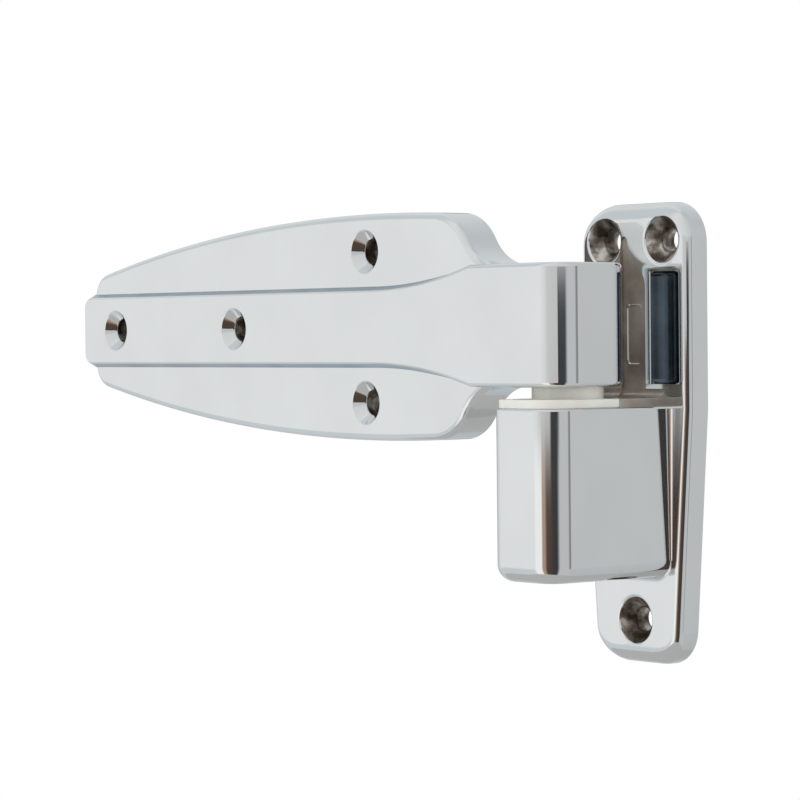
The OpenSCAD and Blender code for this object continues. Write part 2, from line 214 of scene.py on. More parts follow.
def lathe(bm, profile, x, z, y_front, rough_from=None):
    """Spins a profile of (radius, depth) about an axis along Y; deep faces get slot 1."""
    verts = [bm.verts.new((x + r, y_front + d, z)) for r, d in profile]
    edges = [bm.edges.new(pair) for pair in zip(verts, verts[1:])]
    before = set(bm.faces)
    bmesh.ops.spin(bm, geom=verts + edges, cent=(x, 0, z), axis=(0, 1, 0),
                   angle=2 * math.pi, steps=72, use_merge=True)
    for face in set(bm.faces) - before:
        deep = face.calc_center_median().y - y_front
        face.material_index = int(rough_from is not None and deep > rough_from)


def block_of(bm, low, high):
    """A plain box between two corners."""
    made = bmesh.ops.create_cube(bm, size=1)["verts"]
    low, high = Vector(low), Vector(high)
    bmesh.ops.scale(bm, vec=high - low, verts=made)
    bmesh.ops.translate(bm, vec=(low + high) / 2, verts=made)


# %% [markdown]
# ## From a drawing to an object
# The bodies of the casting and its cutters are separate drawings. They are joined and
# cut with Boolean modifiers, as the wooden patterns and cores of a foundry are, and
# the result is kept as plain mesh. The cutter's material goes with the faces that it
# leaves, so a drilled or cored surface can look rougher than the polished outside.

# %% Objects and Booleans
SHARP_DEG = 32


def to_object(name, bm, *materials):
    """Makes an object of a drawing in millimetres, at the origin, with clean normals."""
    bmesh.ops.remove_doubles(bm, verts=bm.verts, dist=1e-4)
    bmesh.ops.recalc_face_normals(bm, faces=bm.faces)
    bmesh.ops.scale(bm, vec=(MM, MM, MM), verts=bm.verts)
    mesh = bpy.data.meshes.new(name)
    bm.to_mesh(mesh)
    bm.free()
    obj = bpy.data.objects.new(name, mesh)
    bpy.context.scene.collection.objects.link(obj)
    for material in materials:
        mesh.materials.append(material)
    return obj


def combine(base, operation, *tools):
    """Joins or cuts a body with other objects, which are used up."""
    for tool in tools:
        boolean = base.modifiers.new(operation.lower(), "BOOLEAN")
        boolean.operation = operation
        boolean.solver = "EXACT"
        boolean.material_mode = "TRANSFER"
        boolean.object = tool
        graph = bpy.context.evaluated_depsgraph_get()
        mesh = bpy.data.meshes.new_from_object(base.evaluated_get(graph))
        base.modifiers.clear()
        base.data = mesh
        bpy.data.objects.remove(tool)


def dull_back(obj, y, material):
    """Gives the flat back of a casting its unpolished finish."""
    obj.data.materials.append(material)
    for polygon in obj.data.polygons:
        if polygon.normal.y > 0.99 and abs(polygon.center.y / MM - y) < 0.01:
            polygon.material_index = len(obj.data.materials) - 1


def polish(obj):
    """Smooth shading that keeps the flats flat and the real edges crisp."""
    obj.data.shade_smooth()
    obj.data.set_sharp_from_angle(angle=math.radians(SHARP_DEG))
    weighted = obj.modifiers.new("flat_faces", "WEIGHTED_NORMAL")
    weighted.keep_sharp = True
    weighted.weight = 80


# %% [markdown]
# ## Colours and nodes
# Colours are written as the hex values that a paint program shows, which are sRGB.
# Shaders work in linear light, so one function turns them. Another adds a node with
# its settings and links, which keeps each material short enough to read.

# %% Colour and node helpers


def linear(hex_colour):
    """An sRGB hex colour as linear RGBA."""
    parts = [int(hex_colour[i:i + 2], 16) / 255 for i in (1, 3, 5)]
    return [c / 12.92 if c <= 0.04045 else ((c + 0.055) / 1.055) ** 2.4 for c in parts] + [1]


def add_node(tree, kind, links=None, stops=(), **settings):
    """Adds a node with properties, input values, links to its inputs and a ramp's colour stops."""
    node = tree.nodes.new(kind)
    for key, value in settings.items():
        if key in node.inputs:
            node.inputs[key].default_value = value
        else:
            setattr(node, key, value)
    for key, socket in (links or {}).items():
        tree.links.new(socket, node.inputs[key])
    for i, (position, colour) in enumerate(stops):
        element = node.color_ramp.elements[i] if i < 2 else node.color_ramp.elements.new(1)
        element.position = position
        element.color = linear(colour)
    return node


def new_material(name):
    """An empty node material, with its tree, shader and Object coordinates."""
    material = bpy.data.materials.new(name)
    material.use_nodes = True
    tree = material.node_tree
    shader = tree.nodes["Principled BSDF"]
    place = add_node(tree, "ShaderNodeTexCoord").outputs["Object"]
    return material, tree, shader, place


def per_metre(size_mm):
    """Noise scale that gives features of about this size."""
    return 1 / (size_mm * MM)


# %% [markdown]
# ## Chrome plate
# Bright chrome over nickel on a polished zinc casting is almost a mirror, and its flats
# are even. What is left of the hand polish is small: thin smears make the gloss a
# little uneven, and very shallow waves bend a reflection by a fraction of a degree.

# %% Chrome plate
chrome, tree, shader, place = new_material("bright_chrome_plate")
shader.inputs["Metallic"].default_value = 1.0
waves = add_node(tree, "ShaderNodeTexNoise", {"Vector": place}, Scale=per_metre(30), Detail=1.0)
smears = add_node(tree, "ShaderNodeTexNoise", {"Vector": place}, Scale=per_metre(26), Detail=4.0)
tint = add_node(tree, "ShaderNodeValToRGB", {"Fac": smears.outputs["Fac"]},
                stops=((0.35, "#E6E8E8"), (0.7, "#EAECEC")))
gloss = add_node(tree, "ShaderNodeMapRange", {"Value": smears.outputs["Fac"]},
                 **{"To Min": 0.05, "To Max": 0.09})
bump = add_node(tree, "ShaderNodeBump", {"Height": waves.outputs["Fac"]}, Strength=0.1, Distance=0.0002)
tree.links.new(tint.outputs["Color"], shader.inputs["Base Color"])
tree.links.new(gloss.outputs["Result"], shader.inputs["Roughness"])
tree.links.new(bump.outputs["Normal"], shader.inputs["Normal"])
print("made", chrome.name)

# %% [markdown]
# ## Unpolished plate
# A buffing wheel can't reach into the screw holes, the cored back and the recess
# behind the knuckle. There the plating lies on the skin of the casting. In the holes it
# is stained brown, with bright patches, and pitted at about a millimetre. The recess was
# flatter to begin with, so it is only dull and grey-brown. The scoops are painted dark
# and blue, as painted shade and a painted reflection of the dark gap behind the knuckle,
# and the wide cores behind hardly take any plating. The wheel grazes the sides of the rib,
# which are satin, with a grey-blue that is a painted reflection. These finishes differ in
# tone and grain, so one function makes them all.

# %% Unpolished plate


def unpolished(name, metallic, colours, stain_mm, pit_mm, rough, depth):
    """Dull plate; colours are three stops, rough is a range and depth is in metres."""
    material, tree, shader, place = new_material(name)
    shader.inputs["Metallic"].default_value = metallic
    stains = add_node(tree, "ShaderNodeTexNoise", {"Vector": place}, Scale=per_metre(stain_mm), Detail=5.0)
    pits = add_node(tree, "ShaderNodeTexNoise", {"Vector": place}, Scale=per_metre(pit_mm), Detail=3.0)
    tint = add_node(tree, "ShaderNodeValToRGB", {"Fac": stains.outputs["Fac"]},
                    stops=tuple(zip((0.38, 0.5, 0.62), colours)))
    dull = add_node(tree, "ShaderNodeMapRange", {"Value": pits.outputs["Fac"]},
                    **{"To Min": rough[0], "To Max": rough[1]})
    bump = add_node(tree, "ShaderNodeBump", {"Height": pits.outputs["Fac"]}, Strength=0.5, Distance=depth)
    tree.links.new(tint.outputs["Color"], shader.inputs["Base Color"])
    tree.links.new(dull.outputs["Result"], shader.inputs["Roughness"])
    tree.links.new(bump.outputs["Normal"], shader.inputs["Normal"])
    print("made", name)
    return material


# plating on the rough skin of a drilled or countersunk hole: brown stains with bright patches
cast_skin = unpolished("plated_casting_skin", 0.85, ("#4A3F36", "#8A8076", "#DAD6CE"), 5, 1.2,
                       (0.25, 0.5), 0.0004)
# plating that hardly reaches into the wide cores behind: an even, sandy grey
core_skin = unpolished("core_skin", 0.7, ("#8A8078", "#979087", "#A49C93"), 20, 1.6,
                       (0.4, 0.55), 0.0003)
# plating on the flatter floor of the recess and the ledge: dull, grey-brown
dull_plate = unpolished("dull_recess_plate", 0.7, ("#A2978C", "#B3A99F", "#C4BCB3"), 12, 2.5,
                        (0.25, 0.38), 0.0001)
# painted shade and painted reflection in the polished scoops: dark and blue
scoop_painted_shade_plate = unpolished("scoop_painted_shade", 1.0, ("#4E5A65", "#5A6671", "#66727C"), 16, 4,
                        (0.16, 0.26), 0.00003)
# satin plating on the sides of the rib, tinted grey-blue as a painted reflection
satin_painted_reflection_plate = unpolished("satin_rib_painted_reflection", 1.0, ("#A3AEB8", "#AEB8C1", "#B8C1C9"), 16, 4,
                         (0.14, 0.22), 0.00003)

# %% [markdown]
# ## Acetal
# The cams are moulded acetal, an off-white engineering plastic that is slippery and a
# little waxy. Light goes a short way into it, and grease from the hinge yellows it in
# soft patches.

# %% Acetal
acetal, tree, shader, place = new_material("moulded_acetal")
shader.inputs["IOR"].default_value = 1.48
shader.inputs["Subsurface Weight"].default_value = 0.15
shader.inputs["Subsurface Scale"].default_value = 0.002
patches = add_node(tree, "ShaderNodeTexNoise", {"Vector": place}, Scale=per_metre(7), Detail=3.0)
grain = add_node(tree, "ShaderNodeTexNoise", {"Vector": place}, Scale=per_metre(0.6), Detail=2.0)
tint = add_node(tree, "ShaderNodeValToRGB", {"Fac": patches.outputs["Fac"]},
                stops=((0.3, "#E9E8DF"), (0.65, "#F2F1EB")))
satin = add_node(tree, "ShaderNodeMapRange", {"Value": grain.outputs["Fac"]},
                 **{"To Min": 0.38, "To Max": 0.52})
bump = add_node(tree, "ShaderNodeBump", {"Height": grain.outputs["Fac"]}, Strength=0.12, Distance=0.0002)
tree.links.new(tint.outputs["Color"], shader.inputs["Base Color"])
tree.links.new(satin.outputs["Result"], shader.inputs["Roughness"])
tree.links.new(bump.outputs["Normal"], shader.inputs["Normal"])
print("made", acetal.name)

# %% [markdown]
# ## Ground steel
# The pin is ground on a centreless grinder, which leaves fine rings round it. Noise
# that is stretched flat in the plane of the rings gives that look.

# %% Ground steel
ground_steel, tree, shader, place = new_material("ground_steel")
shader.inputs["Metallic"].default_value = 1.0
rings = add_node(tree, "ShaderNodeMapping", {"Vector": place},
                 Scale=(per_metre(12), per_metre(12), per_metre(0.25)))
lines = add_node(tree, "ShaderNodeTexNoise", {"Vector": rings.outputs["Vector"]}, Scale=1.0, Detail=2.0)
tint = add_node(tree, "ShaderNodeValToRGB", {"Fac": lines.outputs["Fac"]},
                stops=((0.3, "#A9ACB0"), (0.7, "#C4C7CA")))
gloss = add_node(tree, "ShaderNodeMapRange", {"Value": lines.outputs["Fac"]},
                 **{"To Min": 0.2, "To Max": 0.36})
tree.links.new(tint.outputs["Color"], shader.inputs["Base Color"])
tree.links.new(gloss.outputs["Result"], shader.inputs["Roughness"])
print("made", ground_steel.name)

# %% [markdown]
# ## Screw holes
# Each hole is cut by a turned shape: a straight shank, a right-angled countersink and
# a lip that rolls into the face. The roll is what the buffing wheel does to every
# edge, and it is what catches the light round the holes.

# %% Screw-hole cutters
STRAP_LIP_R, FLANGE_LIP_R = 0.7, 1.3
# steps in radius and depth by which the countersink eases into the shank
SINK_FOOT = ((0.5, -0.5), (0.16, 0), (0, 0.6))
OVERSHOOT = 2.0


def screw_cutter(name, places, sink_r, lip_r, y_face, y_back, polished):
    """Cutter for screw holes: lip, countersink and shank, rough below the polished depth."""
    turn = [math.radians(a) for a in (90, 78, 66, 55, 45)]
    shift = lip_r * math.cos(turn[-1])
    lip = [(sink_r + shift - lip_r * math.cos(a), lip_r * (1 - math.sin(a))) for a in turn]
    foot = sink_r - HOLE_R + lip[-1][1]
    inner = [(HOLE_R + wider, foot + deeper) for wider, deeper in SINK_FOOT]
    deep = y_back - y_face + OVERSHOOT
    bm = bmesh.new()
    for x, z in places:
        lathe(bm, [(0, -OVERSHOOT), (lip[0][0], -OVERSHOOT)] + lip + inner
              + [(HOLE_R, deep), (0, deep)], x, z, y_face, rough_from=polished)
    return to_object(name, bm, chrome, cast_skin)


# %% [markdown]
# ## Strap: the wings
# The two wings are one flat slab with a long, slow curve along each edge, a shoulder
# and a hollow where it runs into the neck. Four arcs that touch each other draw half
# of it. The front edge is rounded over when the slab is raised.

# %% Wings
WING_END_X = strap_low.x + 1.4
SWEEP_R, SHOULDER_R, THROAT_R, WING_END_R = 697, 17, 17.3, 8
SWEEP_C = Vector((-76, strap_high.z - SWEEP_R))
SHOULDER_X = -45.3
WING_EDGE_R = 2.4
# depth by which a piece that is joined on stands in its body
SUNK = 1.0


def under_sweep(x, r):
    """Centre of an arc of radius r that touches the long curve from inside."""
    return Vector((x, SWEEP_C.y + math.sqrt((SWEEP_R - r) ** 2 - (x - SWEEP_C.x) ** 2)))


def bearing(a, b):
    return math.degrees(math.atan2(b.y - a.y, b.x - a.x))


END_C = under_sweep(WING_END_X + WING_END_R, WING_END_R)
SHOULDER_C = under_sweep(SHOULDER_X, SHOULDER_R)
THROAT_Z = KNUCKLE_TOP + THROAT_R
THROAT_C = SHOULDER_C + Vector((
    math.sqrt((SHOULDER_R + THROAT_R) ** 2 - (SHOULDER_C.y - THROAT_Z) ** 2), THROAT_Z - SHOULDER_C.y))


def wing_ring(bm, inset=0.0):
    """Closed outline of both wings, moved inwards by an inset."""
    to_end, to_shoulder = bearing(SWEEP_C, END_C), bearing(SWEEP_C, SHOULDER_C)
    to_throat = bearing(SHOULDER_C, THROAT_C)
    chain = chain_from(bm, END_C.x - WING_END_R + inset, END_C.y)
    arc_to(bm, chain, END_C, to_end - 180, 8)
    arc_to(bm, chain, SWEEP_C, to_shoulder - to_end, 40)
    arc_to(bm, chain, SHOULDER_C, to_throat - to_shoulder, 12)
    arc_to(bm, chain, THROAT_C, 90 - to_throat, 12)
    run_to(bm, chain, chain[-1].co.x, chain[-1].co.z - SUNK)
    return close_mirrored(bm, chain, (1, -1))


bm = bmesh.new()
ring = wing_ring(bm)
rounded_slab(bm, ring, WING_Y, DOOR_Y, [WING_EDGE_R] * len(ring), 6)
strap = to_object("strap_casting", bm, chrome)
print("wings:", len(strap.data.polygons), "faces")

# %% [markdown]
# ## Strap: rib, neck and knuckle
# The rib is a long low ridge that widens into the neck and turns into the knuckle. It
# starts as the knuckle's plan, extruded upright, with round upright corners and then
# round upper and lower edges. The neck's end face is opened, and its rim is extruded
# along the strap. At each station the rim is set to the rib's height there, and its
# round edge slowly becomes the rib's sloping side.

# %% Knuckle and neck
FLARE_X, FLARE_R, RIB_HALF = -71.7, 179, 12
RIB_END_R = 3.0
NECK_X = FLARE_X + math.sqrt(FLARE_R ** 2 - (FLARE_R - (KNUCKLE_TOP - RIB_HALF)) ** 2)
KNUCKLE_EDGE_R, KNUCKLE_BACK_X = 1.4, -14.4
# cuts in front of and behind the wings' face, for the rows of vertices at the rib's foot
FOOT_CUTS = (-0.5, -0.15, 0.1)

bm = bmesh.new()
plan = [(NECK_X, RIB_Y), (strap_high.x, RIB_Y), (strap_high.x, strap_high.y),
        (KNUCKLE_BACK_X, strap_high.y), (KNUCKLE_BACK_X, DOOR_Y), (NECK_X, DOOR_Y)]
face = bm.faces.new([bm.verts.new((x, y, -KNUCKLE_TOP)) for x, y in plan])
raise_face(bm, face, (0, 0, 2 * KNUCKLE_TOP))


def upright(edge):
    a, b = (v.co for v in edge.verts)
    return abs(a.z - b.z) > KNUCKLE_TOP


corners = [e for e in bm.edges if upright(e) and e.verts[0].co.x > NECK_X + 1
           and e.verts[0].co.y != DOOR_Y]
round_edges(bm, corners, KNUCKLE_R, 14, clamp=True)
for y in FOOT_CUTS:
    bmesh.ops.bisect_plane(bm, geom=bm.verts[:] + bm.edges[:] + bm.faces[:],
                           plane_co=(0, WING_Y + y, 0), plane_no=(0, 1, 0), dist=1e-5)
rims = [e for e in bm.edges
        if all(near(abs(v.co.z), KNUCKLE_TOP) for v in e.verts)
        and len({round(f.normal.z) for f in e.link_faces}) == 2
        and not all(near(v.co.x, NECK_X) for v in e.verts)]
round_edges(bm, rims, KNUCKLE_EDGE_R, 5)
print("knuckle:", len(bm.faces), "faces")

# %% Shape of the rib
RIB_SLOPE, RIB_FOOT, RIB_FOOT_OUT = 0.96, 0.6, 0.45
RIB_CROWN, RIB_CROWN_DEPTH = 0.35, 0.7


def rib_half(x):
    """Half the rib's width at its foot, at a place along the strap."""
    if x > FLARE_X:
        return RIB_HALF + FLARE_R - math.sqrt(FLARE_R ** 2 - (x - FLARE_X) ** 2)
    near_end = max(0.0, strap_low.x + RIB_END_R - x)
    return RIB_HALF - RIB_END_R + math.sqrt(RIB_END_R ** 2 - near_end ** 2)


def slope_inset(depth):
    """How far the rib's sloping side stands in, at a depth behind its front."""
    slope_end = RIB_PROUD - RIB_FOOT
    if depth > slope_end:
        return -RIB_FOOT_OUT * (depth - slope_end) / RIB_FOOT
    crown = RIB_CROWN * max(0.0, 1 - depth / RIB_CROWN_DEPTH) ** 2
    return RIB_SLOPE * (1 - depth / slope_end) + crown


print("rib:", 2 * RIB_HALF, "mm wide at its foot")

# %% Rib
FLARE_STEPS, END_STEPS, BLEND_RUN = 16, 8, 22
RIB_END_SOFT, SATIN_FROM = 0.7, 0.5


def at_neck(face):
    return all(near(v.co.x, NECK_X) for v in face.verts)


bmesh.ops.dissolve_faces(bm, faces=[f for f in bm.faces if at_neck(f)])
end_face = next(f for f in bm.faces if at_neck(f))
ring = list(end_face.verts)
bmesh.ops.delete(bm, geom=[end_face], context="FACES_ONLY")
rest = [(v.co.y, math.copysign(1, v.co.z), KNUCKLE_TOP - abs(v.co.z)) for v in ring]

stations = [NECK_X + (FLARE_X - NECK_X) * (i + 1) / FLARE_STEPS for i in range(FLARE_STEPS)]
stations += [strap_low.x + RIB_END_R * (1 - math.sin(math.pi / 2 * i / END_STEPS))
             for i in range(END_STEPS + 1)]
for x in stations:
    ring = next_ring(bm, ring)
    share = min(1.0, (NECK_X - x) / BLEND_RUN)
    blend = share * share * (3 - 2 * share)
    for v, (y, side, inset) in zip(ring, rest):
        sloped = slope_inset(y - RIB_Y) if y < WING_Y + 1 else inset
        v.co = (x, y, side * (rib_half(x) - inset * (1 - blend) - sloped * blend))
end_cap = bm.faces.new(ring)
bmesh.ops.recalc_face_normals(bm, faces=bm.faces)
front_end = [e for e in end_cap.edges if all(v.co.y < WING_Y - 1 for v in e.verts)]
round_edges(bm, front_end, RIB_END_SOFT, 3, clamp=True)
# the rib's sloping sides get the satin plate, whose grey-blue colour is a painted reflection
for face in bm.faces:
    middle = face.calc_center_median()
    on_side = middle.x < NECK_X and RIB_Y + SATIN_FROM < middle.y < WING_Y and abs(face.normal.z) > 0.5
    face.material_index = int(on_side)
rib = to_object("rib", bm, chrome, satin_painted_reflection_plate)
print("rib and knuckle:", len(rib.data.polygons), "faces")

# %% [markdown]
# ## Strap: back, bosses and bores
# Die castings have even walls, so the strap is hollow behind. A core of the wing's own
# outline, one wall smaller, cuts it out, and a boss goes back behind each screw. The
# knuckle is counterbored for the cams and bored for the pin.

# %% Core and bosses
CORE_WALL, CORE_X, CORE_EDGE_R = 4, -42, 1.0
BOSS_R, BOSS_SOFT = 8.5, 0.4

bm = bmesh.new()
ring = wing_ring(bm, CORE_WALL)
rounded_slab(bm, ring, WING_Y + CORE_WALL, DOOR_Y + OVERSHOOT, [CORE_EDGE_R] * len(ring), 3)
bmesh.ops.bisect_plane(bm, geom=bm.verts[:] + bm.edges[:] + bm.faces[:], plane_co=(CORE_X, 0, 0),
                       plane_no=(1, 0, 0), clear_outer=True)
bmesh.ops.holes_fill(bm, edges=bm.edges, sides=0)
core = to_object("core", bm, core_skin)

bm = bmesh.new()
for x, z in WING_HOLES + RIB_HOLES:
    lathe(bm, [(0, CORE_WALL / 2), (BOSS_R, CORE_WALL / 2), (BOSS_R, WING_T - BOSS_SOFT),
               (BOSS_R - BOSS_SOFT, WING_T), (0, WING_T)], x, z, WING_Y)
bosses = to_object("bosses", bm, core_skin)

combine(strap, "UNION", rib)
combine(strap, "DIFFERENCE", core)
combine(strap, "UNION", bosses)
print("bosses:", len(WING_HOLES + RIB_HOLES))

# %% Screw holes and bores
PIN_CLEAR, PIN_ROOM, CAM_CLEAR, SEAT_CLEAR = 0.05, 0.5, 0.4, 0.1
RAMP_GAP, CROWN_H = 0.35, 4
CROWN_LOW = cam_high.z + RAMP_GAP
CAM_TOP = CROWN_LOW + CROWN_H
KEY_HALF, KEY_OUT = 2, 1.6
KEY_REACH = CAM_R + KEY_OUT
POLISHED_SINK = STRAP_SINK_R - HOLE_R


def bore_cutter(name, r, z_low, z_high, material):
    """Upright cylinder about the hinge axis."""
    bm = bmesh.new()
    made = bmesh.ops.create_cone(bm, cap_ends=True, segments=96, radius1=r, radius2=r, depth=z_high - z_low)
    bmesh.ops.translate(bm, vec=(0, AXIS_Y, (z_low + z_high) / 2), verts=made["verts"])
    return to_object(name, bm, material)


counterbore = bore_cutter("counterbore", CAM_R + CAM_CLEAR, -KNUCKLE_TOP - OVERSHOOT, CAM_TOP, cast_skin)
blind_bore = bore_cutter("blind_bore", PIN_R + PIN_CLEAR, CAM_TOP - OVERSHOOT, pin_high.z + PIN_ROOM,
                         cast_skin)
bm = bmesh.new()
block_of(bm, (-KEY_HALF - SEAT_CLEAR, AXIS_Y - KEY_REACH - SEAT_CLEAR, CROWN_LOW),
         (KEY_HALF + SEAT_CLEAR, AXIS_Y + KEY_REACH + SEAT_CLEAR, CAM_TOP))
keyways = to_object("keyways", bm, cast_skin)

combine(strap, "DIFFERENCE",
        screw_cutter("wing_screws", WING_HOLES, STRAP_SINK_R, STRAP_LIP_R, WING_Y, DOOR_Y, POLISHED_SINK),
        screw_cutter("rib_screws", RIB_HOLES, STRAP_SINK_R, STRAP_LIP_R, RIB_Y, DOOR_Y, POLISHED_SINK),
        counterbore, blind_bore, keyways)
dull_back(strap, DOOR_Y, dull_plate)
polish(strap)
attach(strap, "strap")
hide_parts("strap")
print("strap casting:", len(strap.data.polygons), "faces")

# %% [markdown]
# ## Flange: the wall plate
# The plate is a tapered tongue with round corners. Its sides have a small round edge,
# and its top and foot a much fuller one, so the radius grows round the corners. Here
# each vertex of the ring has its own radius, which the ring's direction gives.

# %% Wall plate
PLATE_TOP_R, PLATE_FOOT_R = 12, 11
PLATE_SIDE_EDGE_R, PLATE_CROWN_R = 2.5, 5.7
FOOT_HALF, TAPER_Z = 17.3, -25

bm = bmesh.new()
half = flange_high.x
lean = math.atan((half - FOOT_HALF) / (TAPER_Z - flange_low.z))
foot_x = FOOT_HALF + PLATE_FOOT_R * (math.tan(lean) - 1 / math.cos(lean))
chain = chain_from(bm, 0, flange_high.z)
run_to(bm, chain, half - PLATE_TOP_R, flange_high.z)
arc_to(bm, chain, (half - PLATE_TOP_R, flange_high.z - PLATE_TOP_R), -90, 14)
run_to(bm, chain, half, TAPER_Z)
foot_c = Vector((foot_x, flange_low.z + PLATE_FOOT_R))
run_to(bm, chain, foot_c.x + PLATE_FOOT_R * math.cos(-lean), foot_c.y + PLATE_FOOT_R * math.sin(-lean))
arc_to(bm, chain, foot_c, -90 + math.degrees(lean), 14)
run_to(bm, chain, 0.001, flange_low.z)
ring = close_mirrored(bm, chain, (-1, 1))
radii = [PLATE_SIDE_EDGE_R + (PLATE_CROWN_R - PLATE_SIDE_EDGE_R) * d.z ** 2 for d in inward(ring)]
rounded_slab(bm, ring, -PLATE_T, 0, radii, 8)
flange = to_object("flange_casting", bm, chrome)
print("wall plate:", len(flange.data.polygons), "faces")

# %% [markdown]
# ## Flange: the barrel block
# The block that holds the pin is drawn in plan, raised, and rounded three times: the
# upright corners in front with a large radius, the lower rim with a smaller one and the
# upper rim by a touch. It could be a cube with one Bevel modifier, but that has only one
# radius. Where it meets the plate, a smaller core block is joined first and its inner
# corner bevelled, which makes the hollow fillet that a mould needs. The block proper has
# the mould's draft, so its flat sides run into that fillet with a crisp line. A low
# hollow strip on each side runs them out on the plate.

# %% Barrel block
BLOCK_R, BLOCK_FOOT_R, BLOCK_TOP_R, BLOCK_ROOT_R = 8.5, 5.0, 0.7, 2.0
BLOCK_DRAFT_DEG, ROOT_DEPTH, ROOT_SHY = 1.7, 20, 0.2
block_low = BLOCK_TOP - BLOCK_H


def rounded_block(y_front, draft_deg, corner_r, shy):
    """Block against the plate, wider at its back by the draft, with a round lower rim."""
    back_half = BLOCK_HALF + math.tan(math.radians(draft_deg)) * (-PLATE_T / 2 - y_front)
    low, high = block_low + shy, BLOCK_TOP - shy
    bm = bmesh.new()
    plan = [(-back_half, -PLATE_T / 2), (-BLOCK_HALF, y_front), (BLOCK_HALF, y_front),
            (back_half, -PLATE_T / 2)]
    raise_face(bm, bm.faces.new([bm.verts.new((x, y, low)) for x, y in plan]), (0, 0, high - low))
    if corner_r:
        corners = [e for e in bm.edges if all(near(v.co.y, y_front) for v in e.verts)
                   and near(e.verts[0].co.x, e.verts[1].co.x)]
        round_edges(bm, corners, corner_r, 16)
    for z, r, segments in ((low, BLOCK_FOOT_R, 10), (high, BLOCK_TOP_R, 4)):
        rim = [e for e in bm.edges if all(near(v.co.z, z) for v in e.verts)
               and not all(near(v.co.y, -PLATE_T / 2) for v in e.verts)]
        round_edges(bm, rim, r, segments)
    return to_object("block", bm, chrome)


combine(flange, "UNION", rounded_block(-PLATE_T - ROOT_DEPTH, 0, 0, ROOT_SHY))
bm = bmesh.new()
bm.from_mesh(flange.data)
bmesh.ops.scale(bm, vec=(1 / MM, 1 / MM, 1 / MM), verts=bm.verts)
below_rim = BLOCK_TOP - ROOT_SHY - 0.8 * BLOCK_TOP_R  # the soft top rim itself stays as it is
root = [e for e in bm.edges if not e.is_convex and len(e.link_faces) == 2
        and all(near(v.co.y, -PLATE_T) and v.co.z < below_rim for v in e.verts)]
round_edges(bm, root, BLOCK_ROOT_R, 10)
bpy.data.objects.remove(flange)
flange = to_object("flange_casting", bm, chrome)
combine(flange, "UNION", rounded_block(flange_low.y, BLOCK_DRAFT_DEG, BLOCK_R, 0))
print("block fillet on", len(root), "edges")

# %% Toes of the block
TOE_X, TOE_W, TOE_H, TOE_FOOT_SCALE = 15.4, 2.4, 1.0, 0.33
TOE_R = (TOE_W ** 2 + TOE_H ** 2) / 2 / TOE_H


def side_toe(side):
    """Hollow strip where the block's side runs out on the plate, narrower at its foot."""
    bm = bmesh.new()
    top, foot = BLOCK_TOP - BLOCK_TOP_R, block_low + BLOCK_FOOT_R
    chain = chain_from(bm, TOE_X, top, -PLATE_T - TOE_H)
    arc_to(bm, chain, (TOE_X + TOE_W, -PLATE_T - TOE_R), -math.degrees(math.asin(TOE_W / TOE_R)), 10, "Z")
    for x, y in ((TOE_X + TOE_W, SUNK - PLATE_T), (TOE_X - SUNK, SUNK - PLATE_T),
                 (TOE_X - SUNK, -PLATE_T - TOE_H)):
        chain.append(bm.verts.new((x, y, top)))
    raise_face(bm, bm.faces.new(chain), (0, 0, foot - top))
    bmesh.ops.scale(bm, vec=(TOE_FOOT_SCALE, TOE_FOOT_SCALE, 1),
                    space=Matrix.Translation((-TOE_X, PLATE_T, 0)),
                    verts=[v for v in bm.verts if near(v.co.z, foot)])
    bmesh.ops.scale(bm, vec=(side, 1, 1), verts=bm.verts)
    return to_object("toe", bm, chrome)


combine(flange, "UNION", side_toe(-1), side_toe(1))
print("toes:", TOE_W, "mm wide at the top")

# %% [markdown]
# ## Flange: the ledge
# A low step behind the block's top stops the lower cam from turning. It is a plain box
# with a soft upper rim, as high as the cam's plate and as far in from the block's sides.

# %% Ledge
CAM_INSET, RIM_SOFT = 0.8, 0.3
ledge_half = BLOCK_HALF - CAM_INSET

bm = bmesh.new()
block_of(bm, (-ledge_half, LEDGE_Y, BLOCK_TOP - SUNK), (ledge_half, -PLATE_T / 2, LEDGE_TOP))
round_edges(bm, [e for e in bm.edges if all(v.co.z > BLOCK_TOP for v in e.verts)], RIM_SOFT, 2)
ledge = to_object("ledge", bm, dull_plate)
combine(flange, "UNION", ledge)
print("plate, block and ledge:", len(flange.data.polygons), "faces")

# %% [markdown]
# ## Flange: recess, scoops, core and bores
# Behind the knuckle the plate has a shallow recess that runs up to a point between
# the upper screws, and a scooped channel on each side of it, which gives the knuckle
# room and the casting an even wall. The recess keeps its casting skin. Each scoop's
# cutter is drawn in plan, as one hollow arc between two small arcs that roll its rims
# over, and then raised.

# %% Recess
LAND_HALF, LAND_DEPTH = 5.3, 0.8
LAND_Y = LAND_DEPTH - PLATE_T
TIP_R, TIP_Z = 1.6, 24.5
TONGUE_Z, TONGUE_STEPS = 11.5, 16

bm = bmesh.new()
chain = chain_from(bm, -LAND_HALF, LEDGE_TOP, -PLATE_T - OVERSHOOT)
run_to(bm, chain, -LAND_HALF, TIP_Z)
arc_to(bm, chain, (-LAND_HALF + TIP_R, TIP_Z), -180, 10)
for i in range(TONGUE_STEPS - 1, -1, -1):
    part = i / TONGUE_STEPS
    ease = (1 - math.cos(math.pi * part)) / 2
    run_to(bm, chain, LAND_HALF + (2 * TIP_R - 2 * LAND_HALF) * ease, TONGUE_Z + (TIP_Z - TONGUE_Z) * part)
run_to(bm, chain, LAND_HALF, LEDGE_TOP)
raise_face(bm, bm.faces.new(chain), (0, OVERSHOOT + LAND_DEPTH, 0))
land = to_object("land", bm, dull_plate)
print("recess up to z", TIP_Z + TIP_R)

